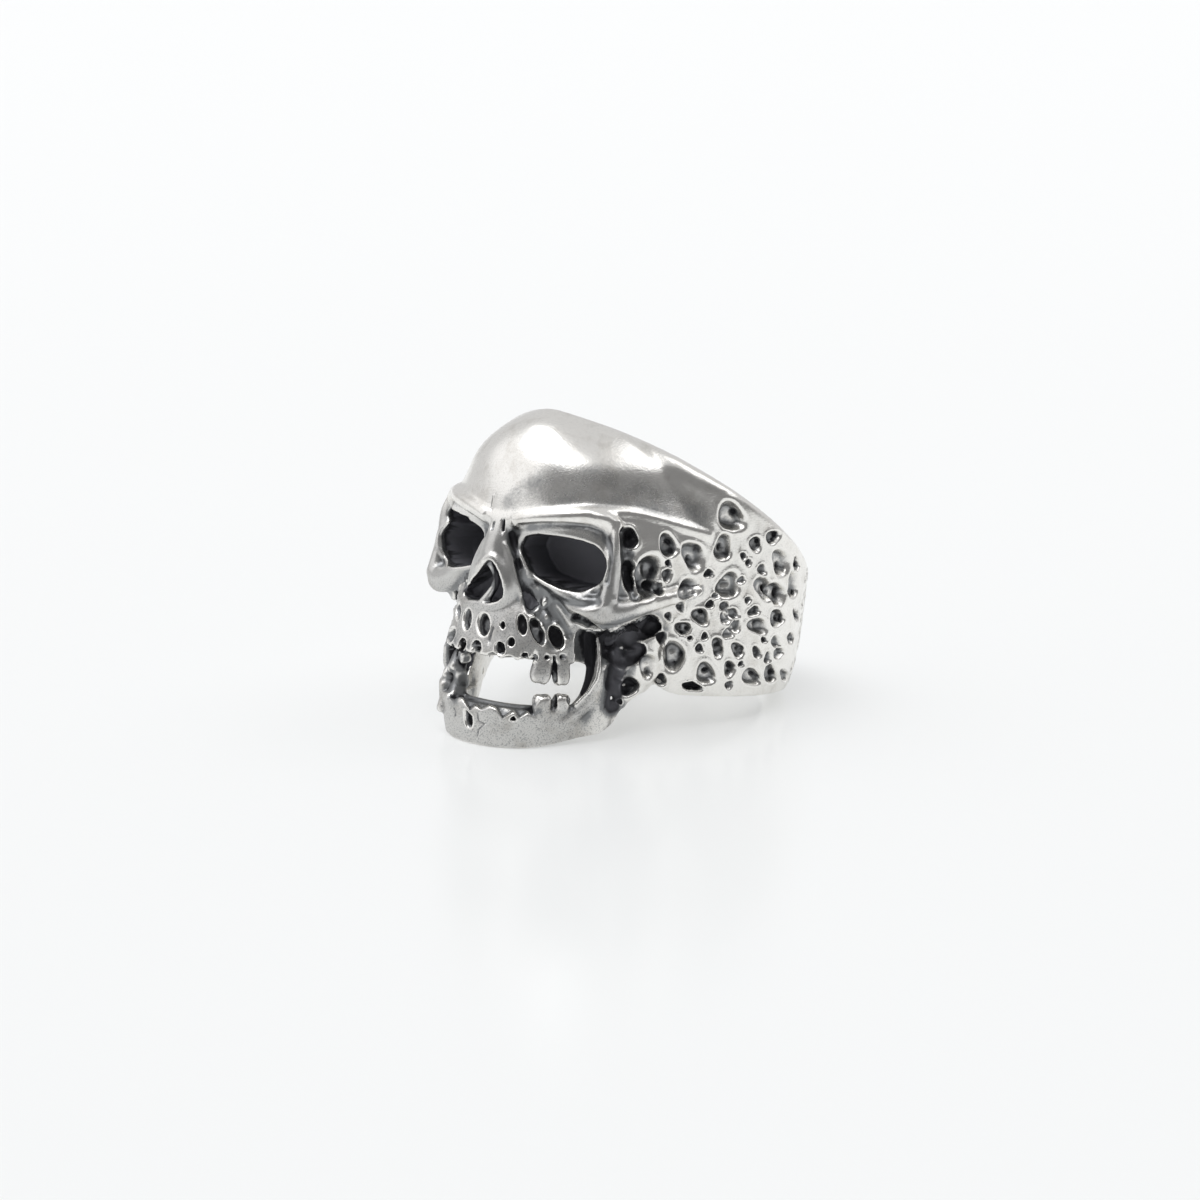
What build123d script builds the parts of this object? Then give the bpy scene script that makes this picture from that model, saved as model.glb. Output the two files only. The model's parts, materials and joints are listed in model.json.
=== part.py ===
from build123d import *
from math import atan2, cos, degrees, radians, sin, tan
import os

# A heavy silver ring, cast in one piece: a broad band covered in craters, whose front rises
# into a skull with deep orbits, a nose opening, missing front teeth and a fixed lower jaw.
# It is drawn upright, with the finger hole along Z, the band's lower edge at Z 0 and the face
# towards -Y, and is laid at the end on its jaw and the back of its band, as it rests.
# Lengths are in millimetres and angles in degrees. A reach is a distance from the finger's axis.

# Band
bore_radius = 10.0
band_wall = 2.0
band_flare = 2.6  # the outer face leans out by this angle as it rises
back_height = 8.1

# Skull
crown_height = 21.9
crown_proud = 2.5  # how far the highest point stands out from the band
face_proud = 7.9  # how far the brow stands out from the band
face_half_width = 9.6

# Orbits
orbit_width = 7.0
orbit_height = 4.9
orbit_depth = 4.5
orbit_corner = 1.3
orbit_spread = 0.56  # from the middle to an orbit's middle, as a share of face_half_width
orbit_setback = 1.7  # from the brow
orbit_level = 0.49  # as a share of crown_height
orbit_turn = 19.0  # each orbit looks outwards by this angle
rim_width = 0.5
rim_height = 0.35
rim_root = 1.5

# Nose
nose_width = 3.7
nose_height = 4.8
nose_depth = 2.6
nose_corner = 0.35
nose_proud = 0.9  # from the brow
nose_level = 0.4  # as a share of crown_height
nose_rim = 0.6
nose_spread = 2.2  # how much wider the nose is all round at its root
nose_root = 3.0  # from its root to its rim
septum_width = 0.4

# Upper jaw
upper_proud = 1.3  # from the brow
upper_radius = 6.9  # of the round front of its arch of teeth
upper_edge = 2.4  # height of its lower edge
upper_height = 6.4
palate_rise = 1.6  # of the mouth's roof over the upper jaw's edge

# Lower jaw
underbite = 0.2  # how far the lower jaw stands out from the upper jaw
lower_radius = 7.1
mouth_gap = 3.7  # between the jaws
jaw_drop = 4.9  # from the band's lower edge to the sole of the chin
chin_setback = 1.1  # of the sole's front from the tooth edge
jaw_half_width = 7.4
jaw_clearance = 0.4  # between the jaw's rear end and the band's outer face
jaw_wall = 2.1
ramus_length = 3.0
ramus_width = 1.8
ramus_top = 7.5
ramus_lean = 0.6
ramus_foot = 0.8

# Teeth
tooth_width = 1.7
tooth_height = 3.0
tooth_corner = 0.5
tooth_sink = 1.0  # how much of a tooth is sunk into its jaw
tooth_inset = 0.9  # from the arch's front to a tooth's middle
upper_tooth_turns = (54, 72)
lower_tooth_turns = (57, 74)

# Empty sockets over the missing front teeth
socket_radius = 0.5
socket_rise = 1.9  # over the upper jaw's edge
socket_inset = 0.2
socket_turns = (6, 22, 38, 62)

# Craters
crater_radius = 1.2
crater_depth = 0.42  # as a share of a crater's radius
temple_turn = 80.0  # way that the temples face

band_radius = bore_radius + band_wall
band_middle = bore_radius + band_wall / 2
face_reach = band_radius + face_proud
orbit_x = orbit_spread * face_half_width
orbit_reach = face_reach - orbit_setback
orbit_z = orbit_level * crown_height
nose_reach = face_reach + nose_proud
nose_z = nose_level * crown_height
upper_reach = face_reach + upper_proud
lower_reach = upper_reach + underbite
lower_edge = upper_edge - mouth_gap
chin_reach = lower_reach - chin_setback
jaw_heel = band_radius + jaw_clearance
ramus_front = jaw_heel + ramus_length
temple_reach = 0.8 * face_reach
top_slope = degrees(atan2(crown_height - back_height, crown_proud + 2 * band_radius))
rest_tilt = degrees(atan2(jaw_drop, chin_reach + band_radius))
slope = Plane(
    (0, band_radius, back_height),
    x_dir=(1, 0, 0),
    z_dir=(0, sin(radians(top_slope)), cos(radians(top_slope))),
)
sole = Plane(
    (0, band_radius, 0),
    x_dir=(1, 0, 0),
    z_dir=(0, -sin(radians(rest_tilt)), cos(radians(rest_tilt))),
)

# Head, level by level: height as a share of crown_height, the reach of its front and its
# temples as shares of face_reach, the temples' spread as a share of face_half_width, and the
# turn at which its sides run into the band, in degrees
head_levels = [
    # height, front, temple_y, temple_x, meets
    (0.25, 0.890, 0.760, 0.955, 50),
    (0.36, 0.915, 0.800, 1.010, 62),
    (0.49, 0.935, 0.800, 1.000, 72),
    (0.60, 0.990, 0.800, 1.010, 76),
    (0.72, 0.995, 0.730, 0.980, 76),
    (0.84, 0.960, 0.660, 0.900, 76),
    (0.94, 0.880, 0.640, 0.700, 76),
    (1.00, 0.745, 0.680, 0.330, 76),
]

# Jaws, level by level from the tooth edge: distance from it as a share of the jaw's height,
# then the reach of the arch's front and its radius, as shares of those at the tooth edge
upper_levels = [
    # along, reach, radius
    (0.0, 1.000, 1.00),
    (0.5, 0.968, 0.97),
    (1.0, 0.880, 1.05),
]
lower_levels = [
    # along, reach, radius
    (0.0, 1.000, 1.00),
    (1.3, 0.940, 0.82),
]

# Corners of an orbit, as shares of its width and height from its middle
orbit_corners = [
    # across, up
    (-0.52, 0.42),
    (0.36, 0.52),
    (0.56, 0.08),
    (0.36, -0.46),
    (0.04, -0.54),
    (-0.46, -0.36),
]

# Corners of the nose opening, as shares of its width and height from its middle
nose_corners = [
    # across, up
    (0.12, 0.50),
    (0.53, -0.34),
    (0.36, -0.52),
    (0.00, -0.42),
    (-0.36, -0.52),
    (-0.53, -0.34),
    (-0.12, 0.50),
]

# Craters of one side: turn from the face in degrees, height as a share of the band's height
# there, and radius as a share of crater_radius
craters = [
    # turn, height, radius
    (67, 0.86, 1.15),
    (65, 0.72, 0.80),
    (78, 0.81, 0.70),
    (87, 0.88, 0.60),
    (97, 0.79, 1.00),
    (110, 0.84, 0.75),
    (61, 0.58, 0.40),
    (69, 0.56, 0.95),
    (84, 0.59, 0.85),
    (98, 0.60, 0.80),
    (112, 0.66, 0.75),
    (58, 0.39, 0.55),
    (69, 0.43, 0.50),
    (83, 0.43, 0.60),
    (97, 0.44, 0.70),
    (112, 0.48, 0.65),
    (52, 0.30, 0.65),
    (66, 0.33, 0.50),
    (87, 0.32, 0.70),
    (45, 0.24, 0.55),
    (66, 0.24, 0.50),
    (77, 0.26, 0.55),
    (100, 0.30, 0.60),
    (115, 0.34, 0.60),
    (42, 0.11, 0.85),
    (53, 0.15, 0.85),
    (63, 0.12, 0.70),
    (75, 0.14, 0.65),
    (87, 0.15, 0.75),
    (99, 0.16, 0.75),
    (112, 0.17, 0.65),
    (126, 0.22, 0.75),
    (128, 0.56, 0.80),
    (124, 0.80, 0.50),
    (142, 0.76, 0.60),
    (142, 0.34, 0.80),
    (156, 0.60, 0.75),
    (158, 0.24, 0.55),
    (171, 0.70, 0.60),
    (172, 0.34, 0.75),
]

# Hollows of one temple, behind the orbit: reach as a share of face_reach, height as a share
# of crown_height and radius as a share of crater_radius
temple_hollows = [
    # reach, height, radius
    (0.72, 0.57, 0.70),
    (0.64, 0.47, 1.15),
    (0.73, 0.40, 0.75),
    (0.50, 0.55, 0.85),
    (0.50, 0.42, 0.80),
    (0.37, 0.54, 0.85),
    (0.36, 0.42, 0.80),
]


def radius_at(height):
    """Radius of the band's outer face."""
    return band_radius + height * tan(radians(band_flare))


def on_band(turn, height):
    """Point of the band's outer face, turned from the front towards +X."""
    reach = radius_at(height)
    return reach * sin(radians(turn)), -reach * cos(radians(turn))


def band_height(turn):
    """Height of the band's sloping top edge at a turn from the front."""
    return back_height + tan(radians(top_slope)) * band_radius * (1 + cos(radians(turn)))


def outline(corners, width, height):
    """Closed line through corners given as shares of a width and a height."""
    return Polyline(*[(across * width, up * height) for across, up in corners], close=True)


def on_arch(turn, reach, radius, inset=0):
    """Point of a tooth arch, turned from its front towards +X and set in by inset."""
    arm = radius - inset
    return arm * sin(radians(turn)), radius - reach - arm * cos(radians(turn))


def facing(x, reach, z, turn):
    """Plane on the face that looks outwards, turned from the front towards +X."""
    along = radians(turn)
    return Plane((x, -reach, z), x_dir=(cos(along), sin(along), 0), z_dir=(sin(along), -cos(along), 0))


def dish(x, y, z, turn, radius):
    """Pair of balls that cut a round dish into each side of the ring, at (x, y) and mirrored."""
    depth = radius * crater_depth
    ball = (radius**2 + depth**2) / (2 * depth)
    out = ball - depth
    x += out * sin(radians(turn))
    y -= out * cos(radians(turn))
    with Locations((x, y, z), (-x, y, z)):
        return Sphere(ball, mode=Mode.PRIVATE)


with BuildPart() as band:
    with BuildSketch(Plane.XZ):
        with BuildLine():
            Polyline(
                (0, 0),
                (band_radius, 0),
                (radius_at(crown_height), crown_height),
                (0, crown_height),
                close=True,
            )
        make_face()
    revolve(axis=Axis.Z)
    split(bisect_by=slope, keep=Keep.BOTTOM)

with BuildPart() as head:
    for height, front, temple_y, temple_x, meets in head_levels:
        level = height * crown_height
        temple = (temple_x * face_half_width, -temple_y * face_reach)
        root = on_band(meets, level)
        with BuildSketch(Plane.XY.offset(level)):
            with BuildLine():
                ThreePointArc(temple, (0, -front * face_reach), (-temple[0], temple[1]))
                Polyline((-temple[0], temple[1]), (-root[0], root[1]), root, temple)
            make_face()
    loft()
    split(bisect_by=slope, keep=Keep.BOTTOM)

with BuildPart() as mouth:
    arch = (upper_reach, upper_radius, jaw_wall)
    left, front, right = (on_arch(turn, *arch) for turn in (-90, 0, 90))
    with BuildSketch(Plane.XY.offset(-2 * jaw_drop)):
        with BuildLine():
            ThreePointArc(left, front, right)
            Polyline(right, (right[0], 0), (left[0], 0), left)
        make_face()
    extrude(amount=2 * jaw_drop + upper_edge + palate_rise)

with BuildPart() as upper_jaw:
    for along, reach, radius in upper_levels:
        arch = (reach * upper_reach, radius * upper_radius)
        left, front, right = (on_arch(turn, *arch) for turn in (-90, 0, 90))
        with BuildSketch(Plane.XY.offset(upper_edge + along * upper_height)):
            with BuildLine():
                ThreePointArc(left, front, right)
                Polyline(right, (right[0], 0), (left[0], 0), left)
            make_face()
    loft()
    add(mouth.part, mode=Mode.SUBTRACT)

with BuildPart() as lower_jaw:
    for along, reach, radius in lower_levels:
        arch = (reach * lower_reach, radius * lower_radius)
        left, front, right = (on_arch(turn, *arch) for turn in (-90, 0, 90))
        with BuildSketch(Plane.XY.offset(lower_edge - along * (jaw_drop + lower_edge))):
            with BuildLine():
                ThreePointArc(left, front, right)
                Polyline(right, (jaw_half_width, -jaw_heel), (-jaw_half_width, -jaw_heel), left)
            make_face()
    loft()
    add(mouth.part, mode=Mode.SUBTRACT)
    with BuildSketch(Plane.YZ.offset(jaw_half_width)):
        with BuildLine():
            Polyline(
                (-ramus_front, lower_edge),
                (ramus_lean - ramus_front, ramus_top),
                (-band_middle, ramus_top),
                (-band_middle, 0),
                (-ramus_foot - jaw_heel, -jaw_drop),
                (-ramus_foot - jaw_heel, -2 * jaw_drop),
                (ramus_lean - ramus_front, -2 * jaw_drop),
                close=True,
            )
        make_face()
    extrude(amount=-ramus_width)
    mirror(about=Plane.YZ)
    split(bisect_by=sole, keep=Keep.TOP)

with BuildPart() as nose:
    for proud, spread in ((-nose_root, nose_spread), (0, nose_rim)):
        with BuildSketch(facing(0, nose_reach, nose_z, 0).offset(proud)):
            with BuildLine():
                outline(nose_corners, nose_width + 2 * spread, nose_height + 2 * spread)
            make_face()
            fillet(vertices(), nose_corner)
    loft()

with BuildPart() as rims:
    for side in (1, -1):
        socket = facing(side * orbit_x, orbit_reach, orbit_z, side * orbit_turn)
        with BuildSketch(socket.offset(-rim_root)):
            with BuildLine():
                outline(
                    [(side * across, up) for across, up in orbit_corners],
                    orbit_width + 2 * rim_width,
                    orbit_height + 2 * rim_width,
                )
            make_face()
            fillet(vertices(), orbit_corner + rim_width)
        extrude(amount=rim_root + rim_height)

with BuildPart() as bore:
    Cylinder(bore_radius, 4 * crown_height)

with BuildPart() as openings:
    for side in (1, -1):
        socket = facing(side * orbit_x, orbit_reach, orbit_z, side * orbit_turn)
        with BuildSketch(socket.offset(-orbit_depth)):
            with BuildLine():
                outline([(side * across, up) for across, up in orbit_corners], orbit_width, orbit_height)
            make_face()
            fillet(vertices(), orbit_corner)
        extrude(amount=orbit_depth + 3 * rim_height)
    with BuildSketch(facing(0, nose_reach, nose_z, 0).offset(-nose_depth)):
        with BuildLine():
            outline(nose_corners, nose_width, nose_height)
        make_face()
        fillet(vertices(), nose_corner)
        Rectangle(septum_width, nose_height, mode=Mode.SUBTRACT)
    extrude(amount=2 * nose_depth)

with BuildPart() as tooth:
    Box(tooth_width, tooth_width, tooth_height)
    fillet(edges(), tooth_corner)

with BuildPart() as teeth:
    for turns, reach, radius, edge, side in (
        (upper_tooth_turns, upper_reach, upper_radius, upper_edge, -1),
        (lower_tooth_turns, lower_reach, lower_radius, lower_edge, 1),
    ):
        for turn in turns:
            x, y = on_arch(turn, reach, radius, tooth_inset)
            z = edge + side * (tooth_height / 2 - tooth_sink)
            with Locations(Location((x, y, z), (0, 0, turn)), Location((-x, y, z), (0, 0, -turn))):
                add(tooth.part)

dents = [bore.part, openings.part]
for turn, height, radius in craters:
    z = height * band_height(turn)
    dents.append(dish(*on_band(turn, z), z, turn, radius * crater_radius))
for reach, height, radius in temple_hollows:
    y = -reach * face_reach
    x = face_half_width + (band_radius - face_half_width) * (1 + y / temple_reach)
    dents.append(dish(x, y, height * crown_height, temple_turn, radius * crater_radius))
for turn in socket_turns:
    x, y = on_arch(turn, upper_reach, upper_radius, socket_inset)
    dents.append(dish(x, y, upper_edge + socket_rise, turn, socket_radius))

with BuildPart() as casting:
    add([band.part, head.part, upper_jaw.part, lower_jaw.part, nose.part, rims.part, teeth.part])
    add(dents, mode=Mode.SUBTRACT)

laid = casting.part.rotate(Axis.X, -rest_tilt)
extent = laid.bounding_box()
with BuildPart() as skull_ring:
    with Locations((-extent.center().X, -extent.center().Y, -extent.min.Z)):
        add(laid)

os.makedirs("parts", exist_ok=True)
skull_ring.part.label = "skull_ring"
export_step(skull_ring.part, "parts/skull_ring.step")
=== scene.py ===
import json
from math import atan2, cos, pi, radians, sin

import bpy
import numpy as np
from mathutils import Matrix, Vector
from mathutils.bvhtree import BVHTree


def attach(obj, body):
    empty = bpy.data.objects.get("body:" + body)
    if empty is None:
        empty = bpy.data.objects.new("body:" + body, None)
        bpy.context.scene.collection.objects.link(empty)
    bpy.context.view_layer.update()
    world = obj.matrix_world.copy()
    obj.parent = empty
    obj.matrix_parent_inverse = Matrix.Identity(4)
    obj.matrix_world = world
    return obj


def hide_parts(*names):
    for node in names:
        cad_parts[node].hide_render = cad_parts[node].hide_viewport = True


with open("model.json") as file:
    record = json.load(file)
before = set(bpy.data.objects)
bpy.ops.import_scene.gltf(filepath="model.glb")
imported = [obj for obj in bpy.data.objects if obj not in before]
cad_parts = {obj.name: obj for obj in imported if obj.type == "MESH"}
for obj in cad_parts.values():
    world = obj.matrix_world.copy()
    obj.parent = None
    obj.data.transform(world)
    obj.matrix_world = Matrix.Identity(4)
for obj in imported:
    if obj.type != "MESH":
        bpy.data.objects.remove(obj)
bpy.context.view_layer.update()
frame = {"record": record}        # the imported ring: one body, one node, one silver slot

# Camera
# It looks at the skull's left cheek from a little above the table, with a long lens, from a place
# fitted to the band's lower edge and to the line where the jaw meets the table.
photo_side = 1200  # pixels each way
view_turn = radians(41)  # from the way the face looks
view_rise = radians(13.3)
view_reach = 0.3
view_target = Vector((-0.00355, 0.00272, 0.00764))
film_width = 36
focal_length = 108

level_part = cos(view_rise)
toward_camera = Vector((level_part * sin(view_turn), -level_part * cos(view_turn), sin(view_rise)))
bpy.ops.object.select_all(action="DESELECT")
bpy.ops.object.camera_add(
    location=view_target + view_reach * toward_camera,
    rotation=(pi / 2 - view_rise, 0, view_turn),
)
camera = bpy.context.object
camera.name = "camera"
camera.data.sensor_width = film_width
camera.data.lens = focal_length
camera.data.clip_start = 0.01
bpy.context.scene.camera = camera

# Place of the wax
# The ring is carved upright in wax, in millimetres, with the finger hole along Z and the face
# towards -Y. This is the way from there to the table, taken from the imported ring's finger hole.
hole = next(mount for mount in frame["record"]["mounts"] if mount["name"] == "finger_hole")
millimetre = 0.001
hole_axis = Vector(hole["axis"])
hole_length = hole["dims"]["length_mm"]
bore_radius = hole["dims"]["r_mm"]
lean = atan2(hole_axis.y, hole_axis.z)
wax_foot = Vector(hole["pos_m"]) - hole_axis.normalized() * hole_length / 2 * millimetre
to_table = (
    Matrix.Translation(wax_foot) @ Matrix.Rotation(-lean, 4, "X") @ Matrix.Scale(millimetre, 4)
)

# Band
# A broad band of cast silver, two millimetres thick, that flares a little and slopes down to the
# back. It starts as a barrel of wax, and is cut and bored once the skull has been melted to it.
band_radius = 12.0
band_profile = [
    # height, radius
    (0.0, 12.05), (1.0, 12.3), (2.0, 12.5), (3.5, 12.68), (5.5, 12.78), (9.0, 12.82), (14.0, 12.95),
    (24.0, 13.1),
]
back_height = 8.0
crown_height = 21.9
crown_reach = 14.5
wax_height = 24.0
wax_cuts = 24  # so that the barrel has points to move all the way up
slope_rise = (crown_height - back_height) / (crown_reach + band_radius)


def places(piece):
    """Positions of a piece's points, one row of x, y and z for each."""
    flat = np.empty(3 * len(piece.data.vertices))
    piece.data.vertices.foreach_get("co", flat)
    return flat.reshape(-1, 3)


def put(piece, points):
    """Moves a piece's points to new places."""
    piece.data.vertices.foreach_set("co", points.ravel())
    piece.data.update()


bpy.ops.object.select_all(action="DESELECT")
bpy.ops.mesh.primitive_cylinder_add(
    vertices=192, radius=1, depth=wax_height, location=(0, 0, wax_height / 2)
)
bpy.ops.object.transform_apply()
band = bpy.context.object
band.name = "skull_ring_silver"
bpy.ops.object.mode_set(mode="EDIT")
for cut in range(1, wax_cuts):
    bpy.ops.mesh.select_all(action="SELECT")
    bpy.ops.mesh.bisect(plane_co=(0, 0, cut / wax_cuts * wax_height), plane_no=(0, 0, 1))
bpy.ops.object.mode_set(mode="OBJECT")
barrel = places(band)
heights, reaches = zip(*band_profile)
barrel[:, :2] *= np.interp(barrel[:, 2], heights, reaches)[:, None]
put(band, barrel)

# Head
# The skull's vault, brow and temples, cast in one with the band and running back into it. They are
# drawn level by level, from a ball of wax.
head_levels = [
    # height, front reach, temple x, temple reach, x and reach where the side meets the band
    (4.6, 16.6, 8.4, 14.4, 8.8, 8.8),
    (5.5, 17.7, 9.2, 15.1, 9.4, 7.9),
    (7.9, 18.2, 9.7, 15.8, 10.9, 5.8),
    (10.7, 18.4, 9.6, 15.8, 11.9, 3.9),
    (13.1, 19.5, 9.5, 15.4, 12.2, 3.1),
    (15.8, 19.4, 8.9, 13.8, 12.3, 3.1),
    (18.3, 18.7, 8.2, 12.5, 12.4, 3.1),
    (20.4, 17.2, 6.2, 12.2, 12.5, 3.1),
    (21.4, 15.7, 3.8, 13.0, 12.6, 3.1),
    (21.95, 14.6, 1.4, 13.7, 12.6, 3.1),
]
head_middle = -8.0
stack_corner = 14  # the higher, the sharper the corners of a stack's levels
front_fade = 6  # how fast a stack's front circle lets go behind its middle


def eased(levels, share):
    """Rows of a table of levels at shares of its length, along a smooth curve through them."""
    rows = np.array(levels, float)
    at = share * (len(rows) - 1)
    row = np.clip(at.astype(int), 0, len(rows) - 2)
    step = (at - row)[:, None]
    before, here, after, beyond = (rows[np.clip(row + k, 0, len(rows) - 1)] for k in (-1, 0, 1, 2))
    turn = 2 * before - 5 * here + 4 * after - beyond
    bend = step * (turn + step * (3 * (here - after) + beyond - before))
    return here + 0.5 * step * (after - before + bend)


def stack(name, levels, middle, rings=72, segments=160, back=-1.0):
    """A form with a round front, straight sides and a flat back at each level, from a ball."""
    bpy.ops.object.select_all(action="DESELECT")
    bpy.ops.mesh.primitive_uv_sphere_add(segments=segments, ring_count=rings)
    piece = bpy.context.object
    piece.name = name
    sphere = places(piece)
    ring = np.arccos(np.clip(-sphere[:, 2], -1, 1)) / pi * rings
    height, front, corner_x, corner_y, rear_x, rear_y = eased(
        levels, np.clip((ring - 1) / (rings - 2), 0, 1)
    ).T
    girth = np.hypot(sphere[:, 0], sphere[:, 1])
    poles = girth < 1e-6
    girth[poles] = 1
    x, y = np.abs(sphere[:, 0]) / girth, sphere[:, 1] / girth
    arc = (corner_x**2 + (front - corner_y) ** 2) / (2 * (front - corner_y))
    off = middle - arc + front
    front_reach = -off * y + np.sqrt(np.maximum((off * y) ** 2 - off**2 + arc**2, 0))
    front_reach *= 1 + front_fade * np.maximum(y, 0)
    side_x, side_y = corner_y - rear_y, corner_x - rear_x
    lying = side_x * corner_x - side_y * (corner_y + middle)
    side_reach = lying / np.maximum(side_x * x + side_y * y, 1e-6)
    back_reach = (back - middle) / np.maximum(y, 1e-6)
    parts = (front_reach, side_reach, back_reach)
    reach = sum(part**-stack_corner for part in parts) ** (-1 / stack_corner)
    reach[poles] = 0
    put(piece, np.stack([np.sign(sphere[:, 0]) * x * reach, middle + y * reach, height], axis=1))
    return piece


head = stack("head", head_levels, head_middle)

# Brow, cheekbones and temples
# Ridges that stand out round the orbits: the brow, a post down the outer side of each orbit,
# the cheekbone under it and the arch that runs back from the cheekbone to the band.


def pick(piece):
    """Selects one piece alone."""
    bpy.ops.object.select_all(action="DESELECT")
    piece.select_set(True)
    bpy.context.view_layer.objects.active = piece


def rod(points):
    """A round wire of wax through points, each x, y, z and radius."""
    line = bpy.data.curves.new("rod", "CURVE")
    line.dimensions = "3D"
    line.bevel_depth = 1.0
    line.bevel_resolution = 5
    line.use_fill_caps = True
    spline = line.splines.new("NURBS")
    spline.points.add(len(points) - 1)
    for knot, (x, y, z, radius) in zip(spline.points, points):
        knot.co = (x, y, z, 1)
        knot.radius = radius
    spline.order_u = 3
    spline.use_endpoint_u = True
    spline.resolution_u = 8
    piece = bpy.data.objects.new("rod", line)
    bpy.context.collection.objects.link(piece)
    pick(piece)
    bpy.ops.object.convert(target="MESH")
    piece = bpy.context.object
    bpy.ops.object.mode_set(mode="EDIT")
    bpy.ops.mesh.select_all(action="SELECT")
    bpy.ops.mesh.remove_doubles(threshold=0.001)
    bpy.ops.object.mode_set(mode="OBJECT")
    return piece


def turn_out(piece):
    """Points all faces of a closed piece outwards."""
    pick(piece)
    bpy.ops.object.mode_set(mode="EDIT")
    bpy.ops.mesh.select_all(action="SELECT")
    bpy.ops.mesh.normals_make_consistent(inside=False)
    bpy.ops.object.mode_set(mode="OBJECT")


def both(piece):
    """A piece with its mirror image on the ring's other side."""
    pick(piece)
    bpy.ops.object.duplicate()
    bpy.ops.transform.mirror(constraint_axis=(True, False, False), center_override=(0, 0, 0))
    bpy.ops.object.transform_apply()
    twin = bpy.context.object
    turn_out(twin)
    return [piece, twin]


wax = [band, head]
wax += both(rod([(0, -19.2, 12.9, 0.7), (2.2, -19.1, 13.4, 0.7), (4.8, -18.3, 13.9, 0.7),
                 (7.0, -17.0, 14.2, 0.7), (8.5, -15.7, 14.0, 0.6), (9.0, -15.3, 13.0, 0.5)]))
wax += both(rod([(8.7, -15.6, 14.2, 0.45), (9.0, -15.9, 12.4, 0.5), (9.1, -16.1, 10.4, 0.5),
                 (9.2, -16.3, 8.6, 0.6), (9.1, -16.6, 7.2, 0.8)]))
wax += both(rod([(3.9, -17.9, 8.9, 0.5), (5.4, -17.6, 8.0, 0.8), (7.0, -17.1, 7.2, 1.0),
                 (8.6, -16.4, 6.9, 1.15), (9.5, -15.4, 6.9, 1.0), (10.0, -13.4, 7.5, 0.8),
                 (10.5, -11.3, 8.0, 0.7), (11.0, -9.0, 8.5, 0.6), (11.2, -7.4, 8.8, 0.5)]))

# Nose
# A short bridge of silver between the orbits, cast in one with the brow, that widens to the rim of
# the nose opening.


def ball(place, size, turn=(0, 0, 0)):
    """An egg of wax, size its half-widths along its own axes."""
    bpy.ops.object.select_all(action="DESELECT")
    bpy.ops.mesh.primitive_uv_sphere_add(
        segments=32, ring_count=20, location=place, rotation=[radians(angle) for angle in turn]
    )
    bpy.ops.transform.resize(value=size, orient_type="LOCAL")
    bpy.ops.object.transform_apply()
    return bpy.context.object


wax += [ball((0, -18.6, 8.4), (2.9, 2.1, 3.6), (-4, 0, 0))]
wax += [rod([(0, -18.9, 13.0, 1.0), (0, -19.0, 12.0, 1.25), (0, -19.3, 11.0, 1.3),
             (0, -19.2, 9.6, 1.7)])]

# Upper jaw
# A round arch over the missing front teeth, cast in one with the cheekbones, with its edge left
# broken.
upper_levels = [
    # height, front reach, corner x, corner reach, rear x, rear reach
    (2.3, 21.2, 6.9, 14.3, 6.9, 12.0),
    (4.0, 20.8, 6.8, 14.1, 6.8, 12.0),
    (5.8, 20.4, 6.7, 13.9, 6.8, 12.0),
    (7.4, 19.6, 6.9, 13.2, 7.2, 12.0),
    (9.0, 18.4, 7.2, 12.4, 7.4, 12.0),
]
upper_middle = -12.5
wax += [stack("upper_jaw", upper_levels, upper_middle, rings=40)]

# Lower jaw
# A fixed jaw, cast in one with the rest, that hangs below the band. It is filed flat underneath and
# has a branch up each side, behind the teeth.
lower_levels = [
    # height, front reach, corner x, corner reach, rear x, rear reach
    (-5.8, 20.1, 6.2, 14.3, 6.9, 12.6),
    (-4.4, 20.6, 6.6, 14.3, 7.2, 12.6),
    (-2.8, 21.0, 6.8, 14.3, 7.3, 12.8),
    (-1.3, 21.3, 6.9, 14.3, 7.3, 13.0),
]
lower_middle = -14.5
lower_back = -12.0
wax += [stack("lower_jaw", lower_levels, lower_middle, rings=40, back=lower_back)]
wax += both(rod([(6.5, -13.2, 7.2, 0.9), (6.6, -13.6, 5.0, 0.85), (6.6, -13.8, 2.6, 0.85),
                 (6.7, -14.1, 0.4, 0.85), (6.4, -15.0, -1.3, 0.75), (5.4, -16.6, -2.6, 0.6)]))
wax += both(rod([(6.7, -14.0, -5.6, 0.5), (6.9, -13.3, -4.6, 0.55), (7.1, -12.5, -3.2, 0.6),
                 (7.2, -12.1, -1.8, 0.6), (7.4, -11.4, -0.4, 0.65), (7.7, -10.4, 0.5, 0.75),
                 (7.9, -9.4, 1.3, 0.95)]))
wax += both(ball((6.8, -13.4, -0.8), (0.75, 1.1, 3.2)))
wax += both(ball((6.9, -12.0, 3.6), (1.5, 2.3, 3.8)))
wax += both(ball((7.7, -9.6, 4.0), (1.5, 1.9, 4.2), (0, 0, 38)))

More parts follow.
